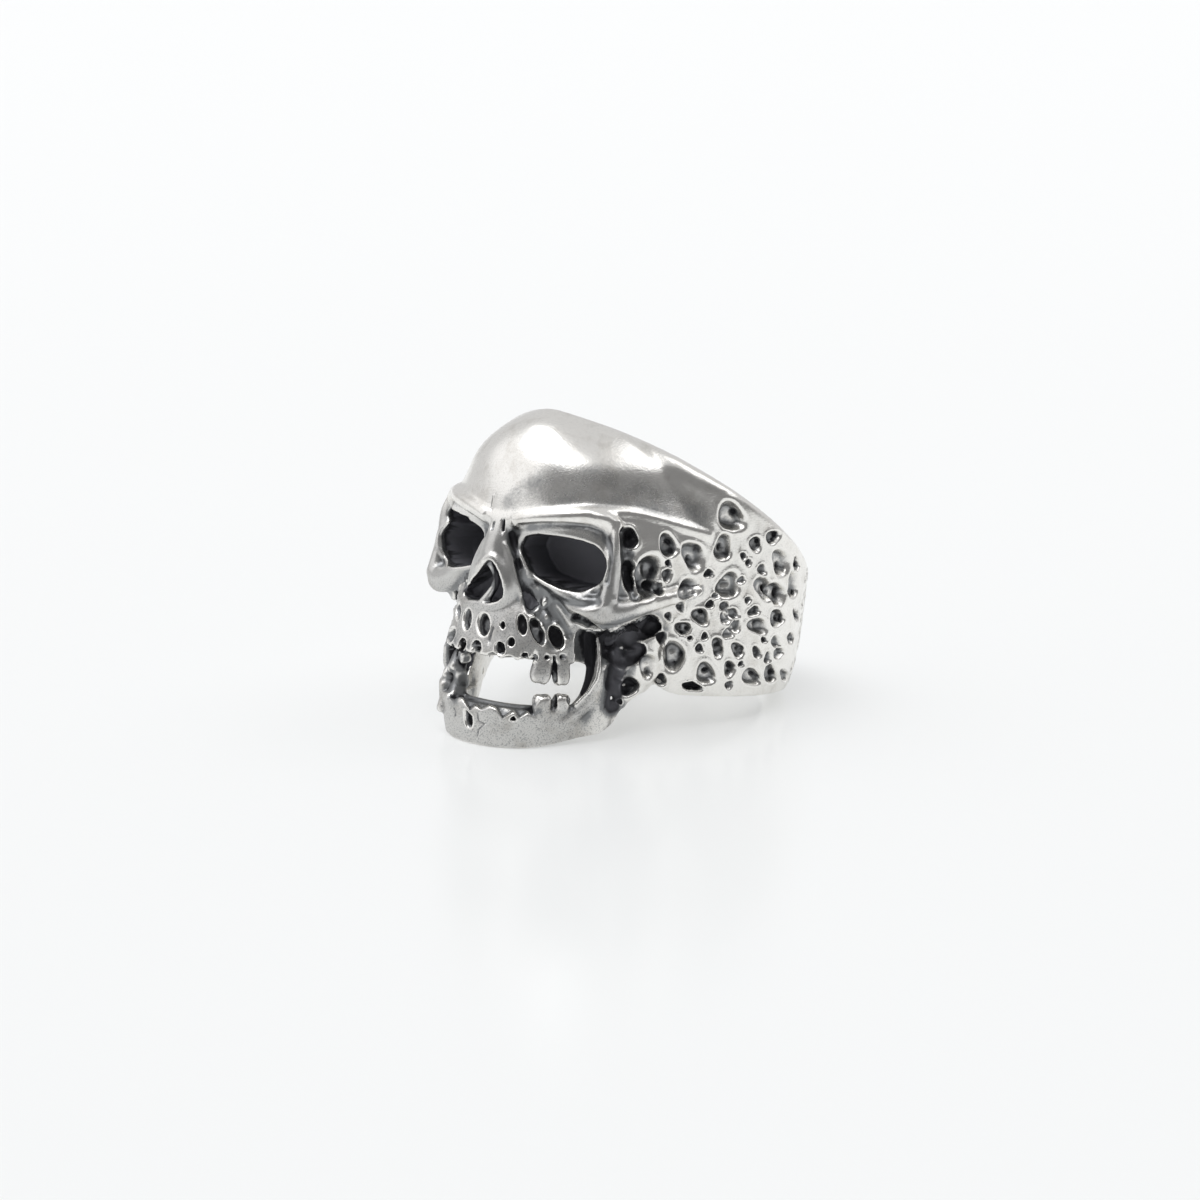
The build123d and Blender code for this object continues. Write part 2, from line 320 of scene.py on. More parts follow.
# Teeth
# Two upper and two lower molars are left on the skull's left side, and a row of broken stumps joins
# the jaws on its right. The upper jaw's edge is notched, and a trough runs along the lower jaw's,
# where the other teeth stood.
tooth_arch_radius = 6.9
tooth_arch_reach = 21.2
arch_middle = tooth_arch_radius - tooth_arch_reach
molar_corner = 0.75  # how round a molar's corners are, of half its width
stump_corner = 0.5
neck_pinch = 0.25
cusp_height = 0.06
cusp_wave = 4.2
cusp_reach = 0.75
stump_pitch = 0.7  # of its tilt
molars = [
    # turn round the arch, inset, height, half-width, half-thickness, half-height, root up or
    # down, tilt
    (50, 0.7, 1.8, 0.88, 0.8, 1.2, 1, 7), (65, 0.7, 1.8, 0.7, 0.75, 1.25, 1, -4),
    (53, 0.8, -1.0, 0.8, 0.75, 0.8, -1, -6), (68, 0.8, -0.9, 0.74, 0.75, 0.8, -1, 5),
]
stumps = [
    # turn round the arch, inset, height, half-width, half-height, tilt
    (-47, 0.65, 1.5, 0.8, 1.0, 14), (-45, 0.85, 0.2, 0.75, 0.9, -24),
    (-44, 0.6, -1.2, 0.85, 0.9, 20), (-41, 0.55, -2.4, 0.75, 0.8, -10),
    (-32, 1.0, 1.2, 0.7, 1.0, -24), (-29, 1.2, 0.0, 0.6, 0.9, 28), (-31, 1.1, -1.1, 0.7, 0.8, -20),
    (-21, 1.0, 1.8, 0.5, 0.5, 30),
]


def on_arch(turn, inset):
    """Place on the arch of the teeth, turned from its front, as x and y."""
    arm = tooth_arch_radius - inset
    return arm * sin(radians(turn)), arch_middle - arm * cos(radians(turn))


def molar(turn, inset, height, wide, thick, tall, root, tilt, corner=molar_corner, pitch=0.0):
    """A square tooth with a narrow neck and two low cusps, its root up or down."""
    bpy.ops.object.select_all(action="DESELECT")
    bpy.ops.mesh.primitive_cube_add(size=2)
    piece = bpy.context.object
    bpy.ops.object.mode_set(mode="EDIT")
    bpy.ops.mesh.select_all(action="SELECT")
    bpy.ops.mesh.bevel(offset=corner, segments=6, affect="EDGES")
    bpy.ops.mesh.select_all(action="SELECT")
    bpy.ops.mesh.subdivide(number_cuts=3)
    bpy.ops.object.mode_set(mode="OBJECT")
    shape = places(piece)
    neck = np.clip(shape[:, 2] * root * 0.5 + 0.5, 0, 1)
    shape[:, :2] *= (1 - neck_pinch * neck**1.5)[:, None]
    cusps = np.cos(shape[:, 0] * cusp_wave) * (1 - neck) * (np.abs(shape[:, 0]) < cusp_reach)
    shape[:, 2] += root * cusp_height * cusps
    put(piece, shape)
    piece.scale = (wide, thick, tall)
    piece.rotation_euler = (radians(pitch), radians(tilt), radians(turn))
    piece.location = (*on_arch(turn, inset), height)
    bpy.ops.object.transform_apply()
    return piece


notches = [
    # turn round the arch, depth
    (-26, 0.4), (-12, 0.5), (2, 0.35), (15, 0.5), (27, 0.4), (38, 0.55),
]
upper_edge = 2.25  # height of the upper jaw's edge
trough = [(*on_arch(turn, 1.05), -1.15, 0.5) for turn in (-4, 6, 16, 26, 36, 44, 50)]
sockets = []
for turn, depth in notches:
    sockets.append(ball((*on_arch(turn, 0.6), upper_edge), (0.55, 1.1, depth), (0, 0, turn)))
sockets += both(rod(trough))
teeth = [molar(*row) for row in molars]
for turn, inset, height, wide, tall, tilt in stumps:
    pitch = tilt * stump_pitch
    teeth.append(molar(turn, inset, height, wide, wide, tall, 1, tilt, stump_corner, pitch))
behind_teeth = both(ball((6.3, -15.35, 3.6), (1.7, 0.85, 2.6), (0, 0, 12)))
septum = rod([(-0.1, -20.3, 9.8, 0.3), (0.32, -19.8, 9.0, 0.3), (0.42, -19.6, 8.2, 0.32),
              (0.1, -19.7, 7.3, 0.34), (-0.5, -20.1, 6.2, 0.4)])

# Mouth and finger hole
# The mouth is hollow behind the teeth and open below, and the finger hole is turned smooth. The wax
# is melted into one skin before they are cut from it.
mouth_levels = [
    # height, front reach, corner x, corner reach, rear x, rear reach
    (-9.0, 19.2, 5.3, 14.6, 6.7, 12.3),
    (-4.0, 19.2, 5.4, 14.6, 6.8, 12.3),
    (0.0, 19.3, 5.4, 14.5, 6.7, 12.2),
    (2.4, 19.3, 5.2, 14.4, 6.2, 12.2),
    (3.4, 18.8, 4.6, 14.2, 5.2, 12.2),
]
mouth_back = -6.0
drill_length = 60
coarse_grain = 0.16
grain = 0.1


def melt(pieces, size):
    """Melts pieces of wax into the first, in one closed skin with faces of about size."""
    bpy.ops.object.select_all(action="DESELECT")
    for piece in pieces:
        piece.select_set(True)
    bpy.context.view_layer.objects.active = pieces[0]
    if len(pieces) > 1:
        bpy.ops.object.join()
    skin = pieces[0].modifiers.new("skin", "REMESH")
    skin.mode = "VOXEL"
    skin.voxel_size = size
    bpy.ops.object.modifier_apply(modifier=skin.name)


def smooth(piece, share, rounds):
    """Rubs a piece smooth."""
    pick(piece)
    rub = piece.modifiers.new("rub", "SMOOTH")
    rub.factor = share
    rub.iterations = rounds
    bpy.ops.object.modifier_apply(modifier=rub.name)


def soften(piece, weight, rounds):
    """Rubs a piece smooth where the weight of its points is above nothing."""
    group = piece.vertex_groups.new(name="rubbed")
    level = np.round(np.clip(weight, 0, 1) * 10).astype(int)
    for step in range(1, 11):
        chosen = np.flatnonzero(level == step)
        if len(chosen):
            group.add(chosen.tolist(), step / 10, "REPLACE")
    pick(piece)
    rub = piece.modifiers.new("rub", "SMOOTH")
    rub.factor = 0.5
    rub.iterations = rounds
    rub.vertex_group = group.name
    bpy.ops.object.modifier_apply(modifier=rub.name)
    piece.vertex_groups.clear()


def cut_away(piece, place, normal):
    """Cuts off and caps what lies on a plane's outer side."""
    pick(piece)
    bpy.ops.object.mode_set(mode="EDIT")
    bpy.ops.mesh.select_all(action="SELECT")
    bpy.ops.mesh.bisect(plane_co=place, plane_no=normal, use_fill=True, clear_outer=True)
    bpy.ops.object.mode_set(mode="OBJECT")


def carve(piece, cutter):
    """Cuts a closed cutter's shape out of a piece."""
    pick(piece)
    cut = piece.modifiers.new("cut", "BOOLEAN")
    cut.operation = "DIFFERENCE"
    cut.solver = "MANIFOLD"
    cut.object = cutter
    bpy.ops.object.modifier_apply(modifier=cut.name)
    bpy.data.objects.remove(cutter)


mouth = stack("mouth", mouth_levels, lower_middle, rings=32, segments=96, back=mouth_back)
bpy.ops.object.select_all(action="DESELECT")
bpy.ops.mesh.primitive_cylinder_add(vertices=192, radius=bore_radius, depth=drill_length)
finger_hole = bpy.context.object
melt(wax, coarse_grain)
smooth(band, 0.5, 8)
points = places(band)  # the seam between the head's flanks and the band is rubbed away
flank = np.clip((points[:, 2] - 9) / 2, 0, 1)
flank *= np.clip(1.6 - np.abs(points[:, 1] + 5.5) / 3.5, 0, 1) * (np.abs(points[:, 0]) > 8)
soften(band, flank, 260)
cut_away(band, (0, band_radius, back_height), (0, slope_rise, 1))
cut_away(band, (0, band_radius, 0), (0, sin(lean), -cos(lean)))
carve(band, mouth)
carve(band, finger_hole)

# Ridges
# Fine raised lines laid on the skull like wax wire, each along a path seen in the photograph. The
# camera's place in the wax's millimetres tells where they lie.
to_wax = to_table.inverted()
eye = np.array(to_wax @ camera.location)
eye_axes = np.array((to_wax.to_3x3() @ camera.rotation_euler.to_matrix()).transposed())
eye_axes /= np.linalg.norm(eye_axes, axis=1)[:, None]
pixels_per_slope = photo_side * focal_length / film_width


def sight(px, py):
    """Direction in the wax of the camera's ray through a pixel."""
    across = (px - photo_side / 2) / pixels_per_slope
    up = (photo_side / 2 - py) / pixels_per_slope
    return np.array([across, up, -1.0]) @ eye_axes


def shell(piece):
    """A piece's skin for rays to be cast at."""
    corners = [corner.co for corner in piece.data.vertices]
    return BVHTree.FromPolygons(corners, [tuple(face.vertices) for face in piece.data.polygons])


def laid(path, radius, sunk):
    """Points of a wire that lies on the skull along a path of pixels, sunk by some millimetres."""
    points = []
    for px, py in path:
        ray = Vector(sight(px, py)).normalized()
        place, facing = bark.ray_cast(Vector(eye), ray)[:2]
        points.append((*(place - facing * sunk), radius))
    return points


def around(edge, off):
    """A closed path round an edge, some pixels outside it."""
    middle = np.mean(edge, axis=0)
    arms = np.array(edge) - middle
    ring = middle + arms * (1 + off / np.linalg.norm(arms, axis=1))[:, None]
    return [*ring, ring[0], ring[1]]


orbit_edge = [
    # across, down
    (524, 536), (536, 533.5), (560, 536), (581, 540), (595, 545), (602, 551), (606, 560), (607, 568),
    (603, 579), (597, 586), (587, 590.5), (576, 592), (560, 589.5), (546, 583), (535, 576), (527, 566),
    (521.5, 556), (520, 546),
]
nose_edge = [
    # across, down
    (488, 558.5), (483, 564), (477.5, 572), (470, 581), (463.5, 590), (462, 597), (466, 601),
    (473, 601), (478, 602), (484, 604), (490, 604), (498, 602), (503, 598), (504, 591), (502, 581),
    (499, 572), (495, 564), (492, 560),
]
bark = shell(band)
lines = both(rod(laid(around(orbit_edge, 2.2), 0.3, 0.16)))
lines += [rod(laid(around(nose_edge, 2.6), 0.42, 0.2))]
ridge_paths = [
    # path across and down, radius, sunk by: the side of the nose, the cheek, the brow with the
    # temple, and the orbit's post
    ([(505, 543), (512, 562), (518, 583), (523, 600), (527, 617)], 0.32, 0.16),
    ([(538, 585), (548, 592), (556, 603), (564, 615), (571, 626)], 0.32, 0.14),
    ([(512, 521), (530, 517), (560, 516), (585, 514), (608, 511), (632, 513), (658, 519),
      (686, 528), (712, 536)], 0.7, 0.5),
    ([(614, 514), (617, 530), (618, 560), (617, 588), (614, 602)], 0.42, 0.2),
]
for path, radius, sunk in ridge_paths:
    lines += both(rod(laid(path, radius, sunk)))
melt([band] + lines, grain)
smooth(band, 0.5, 5)

# Orbits and nose
# Deep blind openings with black floors, cut in from their edges as the photograph shows them. The
# teeth and the nose's septum are melted on after them.
orbit_turn = radians(19)
orbit_depth = 4.5
far_orbit_depth = 3.0
nose_turn = radians(8)
nose_depth = 2.4
cutter_proud = 1.5  # how far a cutter stands out of the skin
far_orbit_edge = [
    # across, down
    (450, 508), (457, 512), (468, 517), (473, 523), (472, 540), (468, 556), (462, 566.5),
    (450, 564), (443.5, 557), (440.5, 549), (441, 540), (444, 533), (449, 529), (449.6, 525),
    (447.5, 521), (446.5, 515), (447.5, 510),
]


def punch(edge, turn, depth, draft):
    """A closed cutter that goes in, turned from the front, where an edge is seen on the skull."""
    out = np.array([sin(turn), -cos(turn), 0])
    ring = np.array(laid(edge, 0, 0))[:, :3]
    rims.append((ring, turn, depth))
    centre = ring.mean(axis=0)
    floor = centre @ out - depth
    bpy.ops.object.select_all(action="DESELECT")
    bpy.ops.mesh.primitive_cylinder_add(vertices=len(edge))
    piece = bpy.context.object
    shape = places(piece)
    for rim in (np.flatnonzero(shape[:, 2] < 0), np.flatnonzero(shape[:, 2] > 0)):
        order = rim[np.argsort(np.arctan2(shape[rim, 0], shape[rim, 1]))]
        if shape[rim[0], 2] < 0:
            inner = centre + (ring - centre) * draft
            shape[order] = inner + (floor - inner @ out)[:, None] * out
        else:
            shape[order] = ring + cutter_proud * out
    put(piece, shape)
    turn_out(piece)
    return piece


bark = shell(band)
rims = []
openings = both(punch(orbit_edge, orbit_turn, orbit_depth, draft=0.9))
openings += [punch(far_orbit_edge, -orbit_turn, far_orbit_depth, draft=0.95)]
openings += [punch(nose_edge, nose_turn, nose_depth, draft=0.85)]
for cutter in openings + sockets + behind_teeth:
    carve(band, cutter)
melt([band, septum] + teeth, grain)
smooth(band, 0.5, 2)

# Brim and heel
# The band's top edge is rounded over, most where the vault runs out into it, and the sole of the
# jaw curves up from the table towards its back.
heel = [
    # reach, rise above the table
    (-19.0, 0.0), (-17.5, 0.12), (-15.8, 0.35), (-14.4, 0.5), (-13.4, 0.75), (-12.8, 1.1),
    (-12.3, 1.6), (-11.8, 2.4),
]
brim_radii = [
    # reach, radius
    (-13.5, 0), (-11, 1.4), (-8, 1.6), (-5, 0.9), (12, 0.45),
]
points = places(band)
sole = (points[:, 1] - band_radius) * sin(lean) / cos(lean) + np.interp(points[:, 1], *zip(*heel))
jaw = (points[:, 1] < -9) & (points[:, 2] < 0)
points[jaw, 2] = np.maximum(points[jaw, 2], sole[jaw])
put(band, points)
soften(band, jaw * (points[:, 2] < sole + 0.5) * np.clip(points[:, 1] + 17.5, 0, 1), 8)
points = places(band)
level = np.hypot(1, slope_rise)
below_slope = (back_height + slope_rise * (band_radius - points[:, 1]) - points[:, 2]) / level
girth = np.hypot(points[:, 0], points[:, 1])
rim_radius = np.interp(points[:, 2], heights, reaches)
inward = np.clip((rim_radius - girth) / (rim_radius - bore_radius), 0, 1)
brim = np.interp(points[:, 1], *zip(*brim_radii))
above = np.clip(brim - below_slope, 0, brim)
pulled = (brim - np.sqrt(brim**2 - above**2)) * (1 - inward) * (girth > bore_radius - 0.1)
points[:, :2] *= (1 - pulled / girth)[:, None]
put(band, points)
near_rim = np.clip((2.2 - below_slope) / 0.8, 0, 1) * np.clip((girth - 10.4) / 0.6, 0, 1)
soften(band, near_rim, 24)

# Carving of the face
# The hollows of the skull: beside the nose, under the brow and the cheekbone, behind the jaw and in
# the temple, each along a path seen in the photograph.
pixel_size = 1 / 12  # in millimetres on the ring
cell_size = 2  # pixels across a cell of the map that tells what hides what
cells_across = photo_side // cell_size + 2
skin_depth = 2.2  # millimetres behind the nearest point that still count as seen
turned_away = 0.25  # how far a face may turn away, as a cosine, before it isn't seen
facing_rounds = 5
lip_place = 1.12  # of a pit's half-width
lip_width = 0.16
clean_rim = 0.3  # millimetres at the top of an opening's wall without oxide
oxide_fade = 0.5


def seen(points):
    """Pixels of the photograph at which the camera sees points, and how far off they are."""
    across, up, back = ((points - eye) @ eye_axes.T).T
    return (
        photo_side / 2 - pixels_per_slope * across / back,
        photo_side / 2 + pixels_per_slope * up / back,
        -back,
    )


def neighbours_mean(piece, values):
    """The mean of each point's neighbours' values."""
    ends = np.empty(2 * len(piece.data.edges), int)
    piece.data.edges.foreach_get("vertices", ends)
    one, other = ends.reshape(-1, 2).T
    count = np.maximum(np.bincount(ends, minlength=len(values)), 1)
    columns = []
    for column in values.reshape(len(values), -1).T:
        total = np.bincount(one, column[other], len(values))
        total += np.bincount(other, column[one], len(values))
        columns.append(total / count)
    return np.stack(columns, axis=1).reshape(values.shape)


class Wax:
    """The ring's skin while it is carved: its points, the way each faces and where it is seen."""

    def __init__(self, piece):
        self.piece = piece
        self.points = places(piece)
        self.stained = np.zeros(len(self.points))
        self.middles = []
        self.survey()

    def survey(self):
        """Looks at the skin anew, from the camera's place and from its mirror image."""
        put(self.piece, self.points)
        flat = np.empty(3 * len(self.points))
        self.piece.data.vertex_normals.foreach_get("vector", flat)
        self.facing = flat.reshape(-1, 3)
        for _ in range(facing_rounds):
            self.facing = neighbours_mean(self.piece, self.facing)
        self.facing /= np.maximum(np.linalg.norm(self.facing, axis=1), 1e-6)[:, None]
        self.views = {}
        for side in (1, -1):
            flip = np.array([side, 1, 1])
            px, py, far = seen(self.points * flip)
            toward = eye - self.points * flip
            toward /= np.linalg.norm(toward, axis=1)[:, None]
            front = (self.facing * flip * toward).sum(axis=1)
            cells = np.full((cells_across, cells_across), np.inf)
            row, column = (py / cell_size).astype(int), (px / cell_size).astype(int)
            np.minimum.at(cells, (row[front > 0], column[front > 0]), far[front > 0])
            near = cells.copy()
            for down in (-1, 0, 1):
                for across in (-1, 0, 1):
                    near = np.minimum(near, np.roll(cells, (down, across), (0, 1)))
            hidden = far - near[row, column]
            shown = np.clip(skin_depth - hidden, 0, 1) * np.clip(front / turned_away + 1, 0, 1)
            if side == -1:
                shown *= 1 - self.views[1][2]
            self.views[side] = (px, py, shown)

    def stain(self, path, wide, amount):
        """Leaves tarnish and painted dark reflection along a path of pixels, deepest on it."""
        path = np.array(path, float)
        for x, y, shown in self.views.values():
            off = np.full(len(x), np.inf)
            for start, end in zip(path[:-1], path[1:]):
                along = end - start
                dx, dy = x - start[0], y - start[1]
                share = np.clip((dx * along[0] + dy * along[1]) / (along @ along), 0, 1)
                off = np.minimum(off, np.hypot(dx - share * along[0], dy - share * along[1]))
            fall = np.clip(1.3 - off / wide, 0, 1)
            self.stained = np.maximum(self.stained, amount * fall * shown)

    def push(self, chosen, amount):
        """Moves chosen points along the way that they face."""
        self.points[chosen] += self.facing[chosen] * amount[:, None]

    def dent(self, chosen, off, share, depth, edge, lip):
        """Sinks chosen points by how far off a pit's middle they are, and raises its rim."""
        fall = np.clip((1 - off) / edge, 0, 1)
        fall = fall * fall * (3 - 2 * fall)
        rim = np.exp(-(((off - lip_place) / lip_width) ** 2))
        facing = self.facing[chosen]
        way = (facing * fall[:, None]).sum(axis=0) + facing.mean(axis=0) * 1e-3
        rise = (lip * rim - depth * fall) * share
        self.points[chosen] += rise[:, None] * way / (np.linalg.norm(way) + 1e-9)

    def pit(self, place, wide, high, depth, edge, lip=0.0):
        """A pit in the band's outside, its place and half-widths in millimetres."""
        away = self.points - place
        chosen = np.flatnonzero((np.abs(away) < 1.5 * max(wide, high)).all(axis=1))
        if len(chosen):
            around_band = away[chosen, 1] * place[0] - away[chosen, 0] * place[1]
            around_band /= np.hypot(place[0], place[1])
            off = np.hypot(around_band / wide, away[chosen, 2] / high)
            self.dent(chosen, off, 1.0, depth, edge, lip)

    def blacken(self, ring, turn, depth, amount):
        """Leaves oxide in an opening that goes in, turned from the front, behind its rim."""
        out = np.array([sin(turn), -cos(turn), 0])
        across = np.array([cos(turn), sin(turn), 0])
        rim = np.stack([ring @ across, ring[:, 2], np.ones(len(ring))], axis=1)
        tilt = np.linalg.lstsq(rim, ring @ out, rcond=None)[0]
        for side in (1, -1):
            points = self.points * np.array([side, 1, 1])
            x, y = points @ across, points[:, 2]
            sunk = np.stack([x, y, np.ones(len(x))], axis=1) @ tilt - points @ out
            within = np.zeros(len(x), bool)
            for (ax, ay), (bx, by) in zip(rim[:, :2], np.roll(rim[:, :2], -1, axis=0)):
                crossing = ax + (y - ay) / (by - ay + 1e-9) * (bx - ax)
                within ^= ((y < ay) != (y < by)) & (x < crossing)
            deep = np.clip((sunk - clean_rim) / oxide_fade, 0, 1)
            black = within * deep * (sunk < depth + oxide_fade)
            self.stained = np.maximum(self.stained, amount * black)

    def dab(self, px, py, wide, high, depth, edge, turn=0, lip=0.0, wobble=0.0):
        """A pit, or with a negative depth a knob, over an oval of pixels with a wobbly edge."""
        size = max(wide, high)
        for x, y, shown in self.views.values():
            near = (np.abs(x - px) < 1.6 * size) & (np.abs(y - py) < 1.6 * size)
            chosen = np.flatnonzero(near & (shown > 0))
            across, down = x[chosen] - px, y[chosen] - py
            c, k = cos(radians(turn)), sin(radians(turn))
            off = np.hypot((across * c + down * k) / wide, (down * c - across * k) / high)
            if wobble:
                bearing = np.arctan2(down, across)
                off *= 1 + wobble * (np.sin(2 * bearing + px) + 0.7 * np.sin(3 * bearing + 2 * py))
            if len(chosen):
                self.dent(chosen, off, shown[chosen], depth, edge, lip)
                self.middles.append((self.points[chosen[np.argmin(off)]], size * pixel_size))

    def stroke(self, path, wide, depth, flat=0.0):
        """A groove, or with a negative depth a ridge, along a path of pixels."""
        path = np.array(path, float)
        low, high = path.min(axis=0) - wide, path.max(axis=0) + wide
        for x, y, shown in self.views.values():
            near = (x > low[0]) & (x < high[0]) & (y > low[1]) & (y < high[1])
            chosen = np.flatnonzero(near & (shown > 0))
            place = np.stack([x[chosen], y[chosen]], axis=1)
            off = np.full(len(chosen), np.inf)
            for start, end in zip(path[:-1], path[1:]):
                along = end - start
                share = np.clip(((place - start) @ along) / (along @ along), 0, 1)
                aside = place - start - share[:, None] * along
                off = np.minimum(off, np.linalg.norm(aside, axis=1))
            fall = np.clip((1 - off / wide) / (1 - flat), 0, 1)
            fall = fall * fall * (3 - 2 * fall)
            self.push(chosen, -depth * fall * shown[chosen])


grooves = [
    # path across and down, half-width, depth, share of the width that is flat: beside the nose
    ([(512, 534), (516, 550), (520, 566)], 4.5, 0.24, 0.1),
    ([(519, 562), (523, 579), (528, 593), (534, 606)], 6, 0.32, 0.2),
    ([(533, 600), (541, 613), (549, 628), (555, 640)], 14, 0.42, 0.3),
    ([(550, 606), (560, 621), (568, 634)], 7, 0.3, 0.2),
    # round the orbit and under it
    ([(519, 526), (540, 524.5), (565, 524.5), (590, 527), (603, 532), (610, 545), (611, 562),
      (607, 582)], 3.5, 0.16, 0),
    ([(552, 599), (567, 604), (583, 606), (597, 603)], 7, 0.25, 0),
    # under the cheekbone
    ([(575, 618), (584, 622), (592, 628), (601, 636), (611, 639), (620, 636), (629, 630),
      (640, 627), (656, 629)], 5, 0.6, 0.3),
]
hollows = [
    # as the grooves: the temple, and the hollow behind the jaw
    ([(627, 533), (628, 548), (629, 565), (630, 580), (636, 594)], 9, 0.5, 0.15),
    ([(609, 641), (626, 637), (650, 626)], 12, 1.0, 0.5),
    ([(609, 650), (622, 658), (636, 652)], 12, 0.8, 0.5),
    ([(608, 660), (613, 672), (614, 684)], 11, 0.6, 0.2),
]
jaw_knobs = [
    # across, down, half-width
    (613, 640, 8), (624, 634, 7), (636, 630, 7), (648, 625, 5), (615, 654, 7), (627, 648, 7),
    (638, 643, 6), (618, 668, 7), (629, 660, 6), (620, 680, 5), (634, 652, 4), (606, 668, 5),
]
cheek_knobs = [
    # across, down, half-width
    (527, 600, 5), (536, 609, 6), (544, 603, 5), (532, 618, 5), (546, 617, 6), (556, 626, 5),
    (540, 628, 5),
]
jaw_edges = [
    # as the grooves: the ridge down the branch of the jaw, of negative depth, and its groove
    ([(603, 634), (600, 648), (600, 664), (596, 680), (588, 693), (576, 705)], 4, -0.3, 0),
    ([(590, 636), (590, 655), (589, 672), (583, 688), (572, 700)], 6, 0.45, 0.3),
]
skin = Wax(band)
for path, wide, depth, flat in grooves:
    skin.stroke(path, wide, depth, flat)
skin.survey()
for path, wide, depth, flat in hollows:
    skin.stroke(path, wide, depth, flat)
for px, py, size in jaw_knobs:
    skin.dab(px, py, size, size, -0.3, edge=1.0)
for px, py, size in cheek_knobs:
    skin.dab(px, py, size, size * 1.4, -0.26, edge=0.9)
for path, wide, depth, flat in jaw_edges:
    skin.stroke(path, wide, depth, flat)
put(band, skin.points)
smooth(band, 0.5, 4)
skin = Wax(band)

# Tooth sockets
# The holes that the lost teeth's roots left in both jaws, the ragged edge of the lower jaw, the
# gaps between the molars and the cracks in the bone.
roots = [
    # across, down, half-width, half-height, turn
    (458.5, 612, 2.6, 8, 4), (467.3, 619.5, 4.4, 11.5, 6), (483.7, 624.5, 6.3, 12.2, 0),
    (502.6, 625, 2.8, 4.2, 0), (522, 624.5, 5.2, 11.2, -8), (537.5, 631, 6.5, 16, -22),
    (556.3, 637, 7.5, 13, -22), (451.5, 635, 3.8, 8, 20), (462.2, 644.5, 4, 6.7, 10),
    (476.5, 647.5, 4.9, 7.6, 0), (500, 649, 5.2, 7.6, -6), (511.2, 641.8, 3.9, 5, 0),
    (525, 656, 3.6, 3.4, 0), (534, 658.5, 4, 4, 0), (468.4, 718, 4, 10.7, -8),
    (513.3, 716.8, 3.2, 3.6, 0),
]
root_depth = 0.3
root_deepening = 0.045  # for each pixel of half-width
broken_edge = [
    # across, drop of the lower jaw's edge in millimetres
    (450, 0.3), (455, 0.4), (462, 0.0), (471, 0.75), (476, 0.35), (482, 0.55), (490, 0.15),
    (496, 0.25), (503.6, 0.95), (513.8, 0.35), (520.4, 0.75), (528, 0.3), (536, 0.6), (541, 0.0),
]
molar_gaps = [
    # path across and down, half-width, depth
    ([(554.5, 657), (555.5, 681)], 2.2, 0.3),
    ([(555, 693), (555, 706)], 2.2, 0.25),
]
molar_roots = [
    # across, down, half-width, half-height
    (535.5, 657, 4, 3.5), (547, 657.5, 3.5, 3), (563.5, 657, 4.5, 3.5),
]
cracks = [
    # path across and down, half-width, depth
    ([(493, 627), (491, 634), (489.5, 641)], 1.4, 0.15),
    ([(493.8, 522), (491.8, 529)], 1.8, 0.25),
    ([(503.4, 520), (503.4, 530)], 2.0, 0.3),
    ([(493.8, 495), (491.4, 510)], 1.4, 0.1),
    ([(477, 711), (478, 721), (484, 724), (478, 730), (477, 736)], 1.3, 0.12),
    ([(454, 707), (455, 716)], 1.5, 0.15),
]
for px, py, wide, high, turn in roots:
    depth = root_depth + root_deepening * wide
    skin.dab(px, py, wide, high, depth, edge=0.3, turn=turn, lip=0.03)
# the lower jaw's outer edge, from its right front to its left molars
arm_x, arm_y = skin.points[:, 0], arch_middle - skin.points[:, 1]
edge_turn = np.degrees(np.arctan2(arm_x, arm_y))
outer = np.clip((np.hypot(arm_x, arm_y) - 5.9) / 0.4, 0, 1) * (edge_turn > -24) * (edge_turn < 60)
edge_height = np.clip((skin.points[:, 2] + 2.6) / 1.2, 0, 1) * (skin.points[:, 2] < -0.4)
drop = np.interp(skin.views[1][0], *zip(*broken_edge))
skin.points[:, 2] -= drop * outer * edge_height
for path, wide, depth in molar_gaps:
    skin.stroke(path, wide, depth)
for px, py, wide, high in molar_roots:
    skin.dab(px, py, wide, high, 0.35, edge=0.8)
for path, wide, depth in cracks:
    skin.stroke(path, wide, depth)
